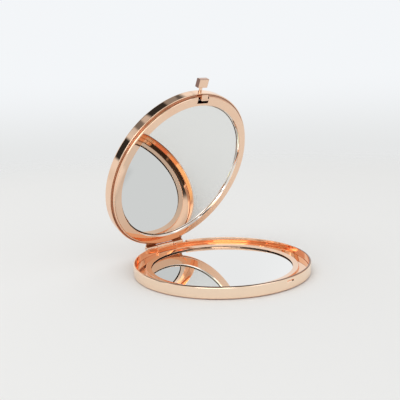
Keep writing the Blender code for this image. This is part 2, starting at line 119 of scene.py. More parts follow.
class Piece:
    """One piece on the bench, shaped with the tools that a modeller uses by hand."""

    ROUND_STEPS = 256
    ROD_STEPS = 64
    SMOOTH_ANGLE = math.radians(38)
    WELD = 0.2 * UM
    NEAR = 2 * UM
    FLAT_WEIGHT = 80

    def __init__(self, name: str) -> None:
        """Take the primitive that was just added, with its place and size put into its mesh.

        Args:
            name: the piece's name.
        """
        self.obj: bpy.types.Object = bpy.context.active_object
        self.obj.name = name
        self.obj.data.name = name
        bpy.ops.object.transform_apply(location=True, rotation=True, scale=True)

    @staticmethod
    def clear_selection() -> None:
        """Deselect everything, so that an operator acts on the new piece alone."""
        for item in list(bpy.context.selected_objects):
            item.select_set(False)

    @classmethod
    def disc(cls, name: str, radius: float, height: float, filled: bool = True,
             steps: int = ROUND_STEPS) -> Piece:
        """Start from a round disc or ring.

        Args:
            name: the piece's name.
            radius: the disc's radius.
            height: its height.
            filled: whether it is a face and not a bare ring.
            steps: how many sides the circle has.

        Returns:
            The piece.
        """
        cls.clear_selection()
        bpy.ops.mesh.primitive_circle_add(vertices=steps, radius=radius, location=(0, 0, height),
                                          fill_type="NGON" if filled else "NOTHING")
        return cls(name)

    @classmethod
    def block(cls, name: str, half: float, depth: Sequence[float], height: Sequence[float]) -> Piece:
        """Start from a box that stands across the middle of the case.

        Args:
            name: the piece's name.
            half: half its width.
            depth: its front and its back.
            height: its bottom and its top.

        Returns:
            The piece.
        """
        cls.clear_selection()
        bpy.ops.mesh.primitive_cube_add(size=1, location=(0, sum(depth) / 2, sum(height) / 2),
                                        scale=(2 * half, depth[1] - depth[0], height[1] - height[0]))
        return cls(name)

    @classmethod
    def rod(cls, name: str, radius: float, start: Sequence[float], length: float, along: Along) -> Piece:
        """Start from a round rod.

        Args:
            name: the piece's name.
            radius: the rod's radius.
            start: the middle of its end with the lower coordinate.
            length: its length.
            along: the axis that it lies along.

        Returns:
            The piece.
        """
        cls.clear_selection()
        way, turn = along.value
        bpy.ops.mesh.primitive_cylinder_add(vertices=cls.ROD_STEPS, radius=radius, depth=length,
                                            location=Vector(start) + Vector(way) * length / 2,
                                            rotation=turn, end_fill_type="NGON")
        return cls(name)

    @contextmanager
    def editing(self, mode: str = "VERT") -> Iterator[None]:
        """Hold the piece in edit mode.

        Args:
            mode: what is selected there, VERT, EDGE or FACE.
        """
        self.activate()
        bpy.ops.object.mode_set(mode="EDIT")
        bpy.ops.mesh.select_mode(type=mode)
        bpy.ops.mesh.select_all(action="DESELECT")
        yield
        bpy.ops.object.mode_set(mode="OBJECT")

    def activate(self) -> None:
        """Select this piece alone."""
        self.clear_selection()
        self.obj.select_set(True)
        bpy.context.view_layer.objects.active = self.obj

    def select_edges(self, test: Callable[[Vector, Vector], bool]) -> None:
        """Select the edges whose two ends pass a test.

        Args:
            test: takes an edge's two ends.
        """
        mesh = bmesh.from_edit_mesh(self.obj.data)
        for edge in mesh.edges:
            edge.select_set(test(edge.verts[0].co, edge.verts[1].co))
        bmesh.update_edit_mesh(self.obj.data)

    def weld(self) -> None:
        """Merge the points that meet, and point all faces outwards."""
        bpy.ops.mesh.select_all(action="SELECT")
        bpy.ops.mesh.remove_doubles(threshold=self.WELD)
        bpy.ops.mesh.normals_make_consistent(inside=False)

    @classmethod
    def turned(cls, name: str, stations: Sequence[Station], ring: bool = False,
               steps: int = ROUND_STEPS) -> Piece:
        """Draw a disc or ring out along a profile, one extrusion for each corner, and round it.

        Args:
            name: the piece's name.
            stations: the profile's corners.
            ring: whether the profile closes on itself round a hole.
            steps: how many sides the circle has.

        Returns:
            The piece.
        """
        piece = cls.disc(name, stations[0].radius, stations[0].height, not ring, steps)
        with piece.editing("EDGE" if ring else "FACE"):
            bpy.ops.mesh.select_all(action="SELECT")
            for before, after in zip(stations, stations[1:]):
                step = {"value": (0, 0, after.height - before.height)}
                if ring:
                    bpy.ops.mesh.extrude_edges_move(TRANSFORM_OT_translate=step)
                else:
                    bpy.ops.mesh.extrude_region_move(TRANSFORM_OT_translate=step)
                grow = after.radius / before.radius
                bpy.ops.transform.resize(value=(grow, grow, 1), center_override=(0, 0, after.height))
            if ring:
                ends = (stations[0], stations[-1])
                bpy.ops.mesh.select_mode(type="EDGE")
                piece.select_edges(lambda a, b: any(cls.on_loop(a, s) and cls.on_loop(b, s) for s in ends))
                bpy.ops.mesh.bridge_edge_loops()
            piece.weld()
        for station in stations:
            if station.rounding:
                piece.round_loop(station)
        return piece

    @classmethod
    def on_loop(cls, point: Vector, station: Station) -> bool:
        """Return whether a point lies on a station's circle."""
        aside, above = point.xy.length - station.radius, point.z - station.height
        return max(abs(aside), abs(above)) < cls.NEAR

    def round_loop(self, station: Station) -> None:
        """Round the circular edge at a station."""
        self.round_edges(station.rounding, station.segments, lambda a, b: self.on_loop(a, station)
                         and self.on_loop(b, station), clamp=False)

    def round_edges(self, width: float, segments: int, test: Callable[[Vector, Vector], bool],
                    clamp: bool = True) -> None:
        """Round the edges that pass a test.

        Args:
            width: how far the rounding reaches.
            segments: how many steps it has.
            test: takes an edge's two ends.
            clamp: whether it stops where two roundings meet.
        """
        with self.editing("EDGE"):
            self.select_edges(test)
            bpy.ops.mesh.bevel(offset=width, segments=segments, profile=0.5, affect="EDGES",
                               clamp_overlap=clamp)

    @classmethod
    def bow(cls, name: str, radii: Sequence[float], heights: Sequence[float], half_angle: float,
            middle: float, steps: int) -> Piece:
        """Model a flat bar that is bowed round Z, spun from its section.

        Args:
            name: its name.
            radii: the radius of its inner side and of its outer side.
            heights: its bottom and its top.
            half_angle: how far it reaches to each side of its middle.
            middle: the direction of its middle, from +X.
            steps: in how many steps it is spun.

        Returns:
            The piece.
        """
        cls.clear_selection()
        bpy.ops.mesh.primitive_plane_add(size=1, location=(sum(radii) / 2, 0, sum(heights) / 2),
                                         rotation=(math.pi / 2, 0, 0))
        bpy.context.active_object.scale = (radii[1] - radii[0], heights[1] - heights[0], 1)
        bar = cls(name)
        bar.move(Matrix.Rotation(middle + half_angle, 4, "Z"))
        with bar.editing("FACE"):
            bpy.ops.mesh.select_all(action="SELECT")
            bpy.ops.mesh.spin(steps=steps, angle=2 * half_angle, center=(0, 0, 0), axis=(0, 0, 1))
            bar.weld()
        return bar

    def modify(self, kind: str, **settings: Any) -> Piece:
        """Add a modifier and apply it.

        Args:
            kind: its type.
            settings: its settings by name.

        Returns:
            This piece.
        """
        self.activate()
        bpy.ops.object.modifier_add(type=kind)
        step = self.obj.modifiers[-1]
        for key, value in settings.items():
            setattr(step, key, value)
        bpy.ops.object.modifier_apply(modifier=step.name)
        return self

    def combine(self, operation: str, tools: Sequence[Piece]) -> Piece:
        """Cut tools out of this piece or join them on, and take them away.

        Args:
            operation: DIFFERENCE or UNION.
            tools: the pieces that are used as tools.

        Returns:
            This piece.
        """
        for tool in tools:
            self.modify("BOOLEAN", operation=operation, solver="EXACT", object=tool.obj)
            bpy.data.objects.remove(tool.obj, do_unlink=True)
        return self

    def cut(self, *tools: Piece) -> Piece:
        """Cut tools out of this piece."""
        return self.combine("DIFFERENCE", tools)

    def join(self, *tools: Piece) -> Piece:
        """Join tools to this piece as one body."""
        return self.combine("UNION", tools)

    def ease(self, width: float) -> Piece:
        """Take the sharpness off all hard edges with a fine bevel."""
        return self.modify("BEVEL", width=width, segments=2, limit_method="ANGLE",
                           angle_limit=self.SMOOTH_ANGLE)

    def move(self, way: Matrix) -> Piece:
        """Move the piece, with the move put into its mesh.

        Args:
            way: the move.

        Returns:
            This piece.
        """
        self.obj.matrix_world = way @ self.obj.matrix_world
        self.activate()
        bpy.ops.object.transform_apply(location=True, rotation=True, scale=True)
        return self

    def swing(self, opening: Opening) -> Piece:
        """Swing the piece with the lid, from the shut case to the open one."""
        return self.move(opening.matrix())

    def place(self, body: Body, slot: Slot, material: Material, *nodes: str) -> None:
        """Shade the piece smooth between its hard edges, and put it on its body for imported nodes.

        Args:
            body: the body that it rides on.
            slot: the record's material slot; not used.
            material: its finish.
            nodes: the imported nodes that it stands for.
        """
        self.activate()
        bpy.ops.object.shade_smooth_by_angle(angle=self.SMOOTH_ANGLE)
        self.modify("WEIGHTED_NORMAL", keep_sharp=True, weight=self.FLAT_WEIGHT)
        self.obj.data.materials.clear()
        self.obj.data.materials.append(material)
        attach(self.obj, body.value)
        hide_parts(*nodes)
        LOG.info("%s: %d faces on %s", self.obj.name, len(self.obj.data.polygons), body.value)


class Signal:
    """A socket of a node tree that can stand in a Python expression."""

    def __init__(self, tree: NodeTree, socket: bpy.types.NodeSocket) -> None:
        """Wrap a socket."""
        self.tree = tree
        self.socket = socket

    def math(self, operation: str, *others: Any) -> Signal:
        """Return this value worked on by a Math node."""
        return self.tree.node("ShaderNodeMath", {"operation": operation}, dict(enumerate((self, *others))))

    def __add__(self, other: Any) -> Signal:
        """Return the sum."""
        return self.math("ADD", other)

    __radd__ = __add__

    def __mul__(self, other: Any) -> Signal:
        """Return the product."""
        return self.math("MULTIPLY", other)

    def __sub__(self, other: Any) -> Signal:
        """Return the difference."""
        return self.math("SUBTRACT", other)

    def __abs__(self) -> Signal:
        """Return the size without the sign."""
        return self.math("ABSOLUTE")

    def over(self, start: float, end: float) -> Signal:
        """Return a smooth rise from 0 at start to 1 at end, or a fall where end is the lower one.

        Args:
            start: the value at which the result is 0.
            end: the value at which it is 1.

        Returns:
            The result.
        """
        low, high = min(start, end), max(start, end)
        ends = {"To Min": 0.0, "To Max": 1.0} if start < end else {"To Min": 1.0, "To Max": 0.0}
        return self.tree.node("ShaderNodeMapRange", {"interpolation_type": "SMOOTHSTEP"},
                              {"Value": self, "From Min": low, "From Max": high, **ends})


class NodeTree:
    """Adds nodes to one material or world."""

    def __init__(self, tree: bpy.types.NodeTree) -> None:
        """Take a tree and empty it."""
        self.tree = tree
        tree.nodes.clear()

    def node(self, kind: str, settings: dict[str, Any] | None = None,
             inputs: dict[Any, Any] | None = None, output: Any = 0) -> Signal:
        """Add one node.

        Args:
            kind: the node's type.
            settings: its settings, which are set first.
            inputs: values or signals by the name or number of a socket.
            output: the name or number of the output that is returned.

        Returns:
            The output, or the first one if the node has any.
        """
        made = self.tree.nodes.new(kind)
        for key, value in (settings or {}).items():
            setattr(made, key, value)
        for key, value in (inputs or {}).items():
            if isinstance(value, Signal):
                self.tree.links.new(value.socket, made.inputs[key])
            else:
                made.inputs[key].default_value = value
        return Signal(self, made.outputs[output]) if len(made.outputs) else Signal(self, None)

    def place(self) -> Signal:
        """Return the Object coordinates."""
        return self.node("ShaderNodeTexCoord", output="Object")

    def axes(self, vector: Signal) -> tuple[Signal, Signal, Signal]:
        """Return the three parts of a vector."""
        made = self.node("ShaderNodeSeparateXYZ", inputs={0: vector}).socket.node
        return tuple(Signal(self, made.outputs[i]) for i in range(3))

    def noise(self, vector: Signal, scale: float, detail: float, roughness: float = 0.5) -> Signal:
        """Return soft noise of a scale given in features for each metre."""
        return self.node("ShaderNodeTexNoise", None,
                         {"Vector": vector, "Scale": scale, "Detail": detail, "Roughness": roughness})

    def blend(self, share: Any, first: Any, second: Any) -> Signal:
        """Mix two colours."""
        return self.node("ShaderNodeMix", {"data_type": "RGBA"}, {0: share, 6: first, 7: second}, output=2)

    def bump(self, height: Signal, distance: float, strength: float) -> Signal:
        """Return a normal that follows a height."""
        return self.node("ShaderNodeBump", None,
                         {"Strength": strength, "Distance": distance, "Height": height})


class Measure(Enum):
    """What a limit is measured along, with the case shut."""

    ASIDE = "how far to the left or right of the middle"
    BACK = "how far back, from the middle"
    HEIGHT = "how high above the table"
    REACH = "how far from the case's axis"
    LIP = "how high above the slope of the base bezel's lip"


@dataclass(frozen=True)
class Limit:
    """A limit of a zone, which sets in from start to end. Both are in millimetres."""

    measure: Measure
    start: float
    end: float
    least: float = 0.0

    def share(self, measures: dict[Measure, Signal]) -> Signal:
        """Return 1 inside the limit, and the least share outside it."""
        share = measures[self.measure].over(self.start * MM, self.end * MM)
        return share * (1 - self.least) + self.least if self.least else share


@dataclass(frozen=True)
class Zone:
    """A part of a piece that has a colour of its own, inside all its limits."""

    colour: Colour
    limits: tuple[Limit, ...]

    def over(self, tree: NodeTree, measures: dict[Measure, Signal], colour: Signal) -> Signal:
        """Lay the zone over a colour.

        Args:
            tree: the material's tree.
            measures: the measures of a point.
            colour: the colour beside the zone.

        Returns:
            The colour with the zone.
        """
        share = self.limits[0].share(measures)
        for limit in self.limits[1:]:
            share = share * limit.share(measures)
        return tree.blend(share, colour, self.colour)


@dataclass(frozen=True)
class Placement:
    """The turn and shift that bring a piece's coordinates back to the shut case."""

    shift: tuple[float, ...] = (0.0, 0.0, 0.0)
    turn: float = 0.0
    lip_radius: float = 27.9 * MM
    lip_slope: float = 0.1

    @classmethod
    def on_lid(cls, opening: Opening) -> Placement:
        """Return the placement of a piece that has been swung open with the lid."""
        pivot = Vector((0, opening.y, opening.z))
        return cls(tuple(pivot - Matrix.Rotation(opening.angle, 4, "X") @ pivot), opening.angle)

    def measures(self, tree: NodeTree) -> dict[Measure, Signal]:
        """Measure a point of the piece.

        Args:
            tree: the material's tree.

        Returns:
            Each measure's value.
        """
        spot = tree.node("ShaderNodeMapping", {"vector_type": "POINT"},
                         {"Vector": tree.place(), "Location": self.shift, "Rotation": (self.turn, 0, 0)})
        x, y, z = tree.axes(spot)
        reach = (x * x + y * y).math("SQRT")
        return {Measure.ASIDE: abs(x), Measure.BACK: y, Measure.HEIGHT: z, Measure.REACH: reach,
                Measure.LIP: z - (reach - self.lip_radius) * self.lip_slope}


@dataclass(frozen=True)
class Finish:
    """A material that is made once and shared by the pieces that have it."""

    placement: Placement = Placement()
    zones: tuple[Zone, ...] = ()

    def zoned(self, tree: NodeTree, colour: Signal) -> Signal:
        """Lay all zones over a colour.

        Args:
            tree: the material's tree.
            colour: the colour beside the zones.

        Returns:
            The colour with the zones.
        """
        measures = self.placement.measures(tree) if self.zones else {}
        for zone in self.zones:
            colour = zone.over(tree, measures, colour)
        return colour

    def paint(self, tree: NodeTree) -> dict[str, Any]:
        """Return the values and signals of the shader's sockets."""
        raise NotImplementedError

    def build(self, name: str) -> Material:
        """Make the material.

        Args:
            name: its name.

        Returns:
            The material.
        """
        made = bpy.data.materials.new(name)
        made.use_nodes = True
        tree = NodeTree(made.node_tree)
        shader = tree.node("ShaderNodeBsdfPrincipled", None, self.paint(tree))
        tree.node("ShaderNodeOutputMaterial", None, {"Surface": shader})
        return made


@dataclass(frozen=True)
class RoseGoldPlate(Finish):
    """Polished rose gold plating, in patches a little warmer, with faint smears and a fine ripple."""

    tint: Colour = (0.95, 0.68, 0.50, 1.0)
    warm: Colour = (0.94, 0.64, 0.46, 1.0)
    polish: float = 0.03
    haze: float = 0.05
    ripple: float = 0.35 * UM
    ripple_strength: float = 0.4
    cloud_scale: float = 90
    smear_scale: float = 260
    grain_scale: float = 2600

    def paint(self, tree: NodeTree) -> dict[str, Any]:
        """Paint the plating.

        Args:
            tree: the material's tree.

        Returns:
            The values and signals of the shader's sockets.
        """
        spot = tree.place()
        cloud = tree.noise(spot, self.cloud_scale, 3)
        smear = tree.noise(spot, self.smear_scale, 4, 0.6)
        grain = tree.noise(spot, self.grain_scale, 2)
        colour = self.zoned(tree, tree.blend(cloud.over(0.35, 0.7), self.tint, self.warm))
        rough = self.polish + smear.over(0.45, 0.8) * self.haze
        bump = tree.bump(grain + cloud * 4, self.ripple, self.ripple_strength)
        return {"Base Color": colour, "Metallic": 1.0, "Roughness": rough, "Normal": bump}


@dataclass(frozen=True)
class BasePlate(RoseGoldPlate):
    """The base's plating, with painted light: painted shade in the channel, a painted highlight on the
    outer wall, a painted dark reflection on the front rim, and painted shade along the foot and under the
    lip.
    """

    zones: tuple[Zone, ...] = (
        # painted shade: warmer and darker outside the bezel, in the channel and on the pan's inner wall,
        # for the shade and bounce light inside them
        Zone((0.95, 0.63, 0.44, 1.0), (Limit(Measure.REACH, 30.15, 30.2),)),
        # painted highlight: the outer wall is paler than the plate, as if brightly lit
        Zone((1.0, 0.78, 0.595, 1.0), (Limit(Measure.REACH, 34.65, 34.7),)),
        # painted reflection: a dark band along the top of the front rim, for the dark room that the rounded
        # rim mirrors
        Zone((0.30, 0.18, 0.13, 1.0), (Limit(Measure.HEIGHT, 4.39, 4.49), Limit(Measure.BACK, -3, -14))),
        # painted shade: the lowest half millimetre of the pan is darker, as contact shade at the table
        Zone((0.76, 0.46, 0.34, 1.0), (Limit(Measure.HEIGHT, 0.5, 0.25),)),
        # painted shade: dark under the bezel's lip, a little lighter towards the back
        Zone((0.42, 0.32, 0.26, 1.0), (Limit(Measure.REACH, 30.0, 29.95), Limit(Measure.LIP, 2.215, 2.165),
                                       Limit(Measure.BACK, 22, 15, least=0.4))),
    )


@dataclass(frozen=True)
class LidPlate(RoseGoldPlate):
    """The lid's plating, with painted light: painted shade on its side near the hinge, a painted highlight
    on the recess's wall and painted shade in the groove round the ring.
    """

    zones: tuple[Zone, ...] = (
        # painted shade: the outer side of the lid near the hinge is redder and darker
        Zone((0.93, 0.56, 0.36, 1.0), (Limit(Measure.BACK, 8, 30), Limit(Measure.HEIGHT, 8.36, 8.3))),
        # painted highlight: the recess's wall round the mirror is near white
        Zone((0.97, 0.91, 0.86, 1.0), (Limit(Measure.REACH, 30.56, 30.5), Limit(Measure.HEIGHT, 3.69, 3.81),
                                       Limit(Measure.HEIGHT, 6.16, 6.1))),
        # painted shade: the groove between the raised ring and the pan's wall is dark
        Zone((0.55, 0.31, 0.22, 1.0), (Limit(Measure.REACH, 33.9, 33.96),
                                       Limit(Measure.REACH, 34.68, 34.62),
                                       Limit(Measure.HEIGHT, 4.80, 4.86))),
    )


@dataclass(frozen=True)
class LeafPlate(RoseGoldPlate):
    """The plating of the lid's hinge leaf, with painted shade on the plate behind its knuckles."""

    # painted shade: the plate between the leaf and the knuckles is dark
    zones: tuple[Zone, ...] = (Zone((0.45, 0.22, 0.12, 1.0), (Limit(Measure.BACK, 34.83, 34.75),)),)


@dataclass(frozen=True)
class ButtonPlate(RoseGoldPlate):
    """The plating of the button, with painted shade: a little darker along its far end, and dark on its two
    sides.
    """

    zones: tuple[Zone, ...] = (
        # painted shade: darker along the button's far end
        Zone((0.55, 0.36, 0.28, 1.0), (Limit(Measure.BACK, -40.16, -40.28),)),
        # painted shade: dark on both sides of the button
        Zone((0.30, 0.18, 0.15, 1.0), (Limit(Measure.ASIDE, 2.24, 2.36),)),
    )


@dataclass(frozen=True)
class SilveredGlass(Finish):
    """Silvered mirror glass with a rough ground edge that is also darkened as painted shade, and a few
    faint wipe marks.
    """

    silver: Colour = (0.90, 0.91, 0.91, 1.0)
    # edge colour: partly the real dull ground glass, partly painted shade where the glass meets the frame
    edge: Colour = (0.40, 0.37, 0.35, 1.0)
    ground: Limit = Limit(Measure.REACH, 27.9, 27.95)
    wipe_scale: float = 120
    wipe_haze: float = 0.03
    ground_haze: float = 0.3

    def paint(self, tree: NodeTree) -> dict[str, Any]:
        """Paint the glass.

        Args:
            tree: the material's tree.

        Returns:
            The values and signals of the shader's sockets.
        """
        ground = self.ground.share(self.placement.measures(tree))
        wipe = tree.noise(tree.place(), self.wipe_scale, 5, 0.65)
        # darkens the glass at its edge: the real ground glass and painted shade at the frame
        colour = self.zoned(tree, tree.blend(ground, self.silver, self.edge))
        rough = wipe.over(0.55, 0.85) * self.wipe_haze + ground * self.ground_haze
        return {"Base Color": colour, "Metallic": 1.0, "Roughness": rough}


@dataclass(frozen=True)
class DrawnSteel(Finish):
    """Steel wire or strip with fine lines along X from drawing."""

    colour: Colour = (0.72, 0.71, 0.70, 1.0)
    worn: Colour = (0.55, 0.54, 0.54, 1.0)
    polish: float = 0.16
    haze: float = 0.12
    stretch: tuple[float, ...] = (0.05, 1.0, 1.0)
    line_scale: float = 6000
    line_depth: float = 3 * UM

    def paint(self, tree: NodeTree) -> dict[str, Any]:
        """Paint the steel.

        Args:
            tree: the material's tree.

        Returns:
            The values and signals of the shader's sockets.
        """
        spot = tree.node("ShaderNodeMapping", {"vector_type": "POINT"},
                         {"Vector": tree.place(), "Scale": self.stretch})
        line = tree.noise(spot, self.line_scale, 3, 0.6)
        colour = tree.blend(line.over(0.4, 0.7), self.colour, self.worn)
        rough = self.polish + line.over(0.35, 0.75) * self.haze
        return {"Base Color": colour, "Metallic": 1.0, "Roughness": rough,
                "Normal": tree.bump(line, self.line_depth, 0.3)}


@dataclass(frozen=True)
class AdhesiveFoam(Finish):
    """White adhesive foam with fine open cells."""

    colour: Colour = (0.82, 0.81, 0.78, 1.0)
    cell: Colour = (0.62, 0.61, 0.57, 1.0)
    cell_scale: float = 5200
    cell_depth: float = 20 * UM

    def paint(self, tree: NodeTree) -> dict[str, Any]:
        """Paint the foam.

        Args:
            tree: the material's tree.

        Returns:
            The values and signals of the shader's sockets.
        """
        cells = tree.node("ShaderNodeTexVoronoi", {"feature": "F1"},
                          {"Vector": tree.place(), "Scale": self.cell_scale}, output="Distance")
        return {"Base Color": tree.blend(cells.over(0.2, 0.7), self.cell, self.colour),
                "Roughness": 0.9, "Normal": tree.bump(cells, self.cell_depth, 0.6)}


@dataclass
class BaseCase:
    """The pan that stands on the table, with its ring and mirror."""

    metal: Material
    silvered: Material
    radius: float = 35.0 * MM
    height: float = 4.65 * MM
    sheet: float = 0.5 * MM
    edge_round: float = 0.7 * MM
    inner_round: float = 0.2 * MM
    rim_round: float = 0.6 * MM
    wall: float = 0.8 * MM
    rim_inner_round: float = 0.17 * MM
    lip: float = 0.12 * MM
    liner: float = 0.35 * MM
    flange_bottom: float = 0.6 * MM
    flange_radius: float = 34.1 * MM
    channel_out: float = 1.75 * MM
    channel_in: float = 1.40 * MM
    bezel_out: float = 30.15 * MM
    bezel_in: float = 27.9 * MM
    bezel_top: float = 2.6 * MM
    lip_top: float = 2.25 * MM
    mirror_radius: float = 28.6 * MM
    mirror_bottom: float = 0.95 * MM
    mirror_top: float = 1.75 * MM
    arris: float = 0.12 * MM
    flange_round: float = 0.15 * MM
    channel_round: float = 0.25 * MM
    bezel_round: float = 0.35 * MM
    rim_notch_half: float = 10.3 * MM
    rim_notch_bottom: float = 4.0 * MM
    tab_notch_half: float = 5.15 * MM
    tab_notch_bottom: float = 2.7 * MM
    slot_half: float = 1.8 * MM
    slot_bottom: float = 2.94 * MM
    slot_top: float = 3.6 * MM
    overrun: float = 1.0 * MM

    def make_shell(self) -> None:
        """Model the drawn pan, notched for the hinge and slotted for the latch."""
        inner = self.radius - self.wall
        shell = Piece.turned("base_pan", [
            Station(self.radius, 0.0, self.edge_round, 8),
            Station(self.radius, self.height, self.rim_round, 10),
            Station(inner, self.height, self.rim_inner_round, 6),
            Station(inner, self.sheet, self.inner_round, 4),
        ])
        back = self.radius + self.overrun
        top = self.height + self.overrun
        shell.cut(Piece.block("rim_notch", self.rim_notch_half, (self.radius / 2, back),
                              (self.rim_notch_bottom, top)),
                  Piece.block("tab_notch", self.tab_notch_half, (self.radius / 2, back),
                              (self.tab_notch_bottom, top)),
                  Piece.block("nose_slot", self.slot_half, (-back, -inner + self.sheet),
                              (self.slot_bottom, self.slot_top)))
        shell.place(Body.BASE, Slot.ROSE_GOLD, self.metal, "base_shell")

    def make_ring(self) -> None:
        """Model the stamped ring with the channel floor, the bezel and the lip over the mirror."""
        inside = self.flange_radius - self.liner
        under = self.bezel_out - self.liner
        below = self.channel_in - self.liner
        ring = Piece.turned("base_ring", [
            Station(self.flange_radius, self.flange_bottom),
            Station(self.flange_radius, self.channel_out, self.flange_round, 3),
            Station(self.bezel_out, self.channel_in, self.channel_round, 5),
            Station(self.bezel_out, self.bezel_top, self.bezel_round, 8),
            Station(self.bezel_in, self.lip_top, self.lip / 3, 3),
            Station(self.bezel_in, self.lip_top - self.lip, self.lip / 3, 3),
            Station(under, self.bezel_top - self.liner),
            Station(under, below),
            Station(inside, self.channel_out - self.liner),
            Station(inside, self.flange_bottom),
        ], ring=True)
        ring.place(Body.BASE, Slot.ROSE_GOLD, self.metal, "base_mirror_frame")

    def make_mirror(self) -> None:
        """Model the round mirror glass with its fine arris."""
        glass = Piece.turned("base_glass", [
            Station(self.mirror_radius, self.mirror_bottom, self.arris, 1),
            Station(self.mirror_radius, self.mirror_top, self.arris, 1),
        ])
        glass.place(Body.BASE, Slot.SILVERED_GLASS, self.silvered, "base_mirror")

    def build(self) -> None:
        """Model the pieces in order."""
        self.make_shell()
        self.make_ring()
        self.make_mirror()


@dataclass
class LidCase:
    """The pan that swings, with its dish, raised ring and mirror."""

    metal: Material
    silvered: Material
    opening: Opening = field(default_factory=Opening)
    radius: float = 35.0 * MM
    rim: float = 4.8 * MM
    top: float = 8.5 * MM
    sheet: float = 0.5 * MM
    edge_round: float = 0.7 * MM
    inner_round: float = 0.2 * MM
    rim_round: float = 0.24 * MM
    liner: float = 0.35 * MM
    ring_face: float = 3.6 * MM
    ring_out: float = 34.06 * MM
    ring_round: float = 0.6 * MM
    ring_in: float = 30.5 * MM
    recess_radius: float = 30.15 * MM
    glass_face: float = 4.7 * MM
    glass_back: float = 5.5 * MM
    dish_floor: float = 5.95 * MM
    flange_radius: float = 34.4 * MM
    flange_top: float = 5.3 * MM
    mirror_radius: float = 30.05 * MM
    arris: float = 0.3 * MM
    recess_round: float = 0.15 * MM
    brim_round: float = 0.12 * MM
    flange_round: float = 0.05 * MM
    window_lap: float = 0.1 * MM
    notch_half: float = 10.3 * MM
    notch_top: float = 5.1 * MM
    leaf_room_front: float = 31.90 * MM
    leaf_room_bottom: float = 4.25 * MM
    window_half: float = 2.8 * MM
    window_back: float = 31.33 * MM
    window_top: float = 4.3 * MM
    stem_hole: float = 0.75 * MM
    stem_height: float = 6.65 * MM
    overrun: float = 1.0 * MM

    def make_shell(self) -> None:
        """Model the drawn lid, notched over the hinge, with a hole for the stem."""
        inner = self.radius - self.sheet
        shell = Piece.turned("lid_pan", [
            Station(self.radius, self.top, self.edge_round, 8),
            Station(self.radius, self.rim, self.rim_round, 6),
            Station(inner, self.rim, self.rim_round, 6),
            Station(inner, self.top - self.sheet, self.inner_round, 4),
        ])
        back = self.radius + self.overrun
        notch = Piece.block("hinge_notch", self.notch_half, (self.radius / 2, back),
                            (self.rim - self.overrun, self.notch_top))
        hole = Piece.rod("stem_hole", self.stem_hole, (0, -back, self.stem_height),
                         self.sheet + 2 * self.overrun, Along.Y)
        shell.cut(notch, hole).swing(self.opening)
        shell.place(Body.LID, Slot.ROSE_GOLD, self.metal, "lid_shell")

    def make_dish(self) -> None:
        """Model the dish with its raised flat ring, the latch window and the room for the hinge leaf."""
        behind = self.dish_floor + self.liner
        dish_out = self.recess_radius + self.liner
        side_in = self.ring_out - self.liner
        dish = Piece.turned("lid_dish", [
            Station(self.recess_radius, self.dish_floor, self.recess_round, 3),
            Station(self.recess_radius, self.glass_face),
            Station(self.ring_in, self.ring_face, self.brim_round, 4),
            Station(self.ring_out, self.ring_face, self.ring_round, 8),
            Station(self.ring_out, self.flange_top - self.liner, self.flange_round, 2),
            Station(self.flange_radius, self.flange_top - self.liner),
            Station(self.flange_radius, self.flange_top),
            Station(side_in, self.flange_top),
            Station(side_in, self.ring_face + self.liner),
            Station(self.ring_in + self.liner, self.ring_face + self.liner),
            Station(dish_out, self.glass_face),
            Station(dish_out, behind),
        ])
        window = Piece.block("latch_window", self.window_half,
                             (-self.ring_out - self.window_lap, -self.window_back),
                             (self.ring_face - self.overrun, self.window_top))
        room = Piece.block("leaf_room", self.notch_half, (self.leaf_room_front, self.radius),
                           (self.leaf_room_bottom, self.flange_top + self.overrun))
        dish.cut(window, room).swing(self.opening)
        dish.place(Body.LID, Slot.ROSE_GOLD, self.metal, "lid_mirror_frame")

    def make_mirror(self) -> None:
        """Model the round mirror glass with its fine arris."""
        glass = Piece.turned("lid_glass", [
            Station(self.mirror_radius, self.glass_face, self.arris, 1),
            Station(self.mirror_radius, self.glass_back, self.arris, 1),
        ]).swing(self.opening)
        glass.place(Body.LID, Slot.SILVERED_GLASS, self.silvered, "lid_mirror")

    def build(self) -> None:
        """Model the pieces in order."""
        self.make_shell()
        self.make_dish()
        self.make_mirror()


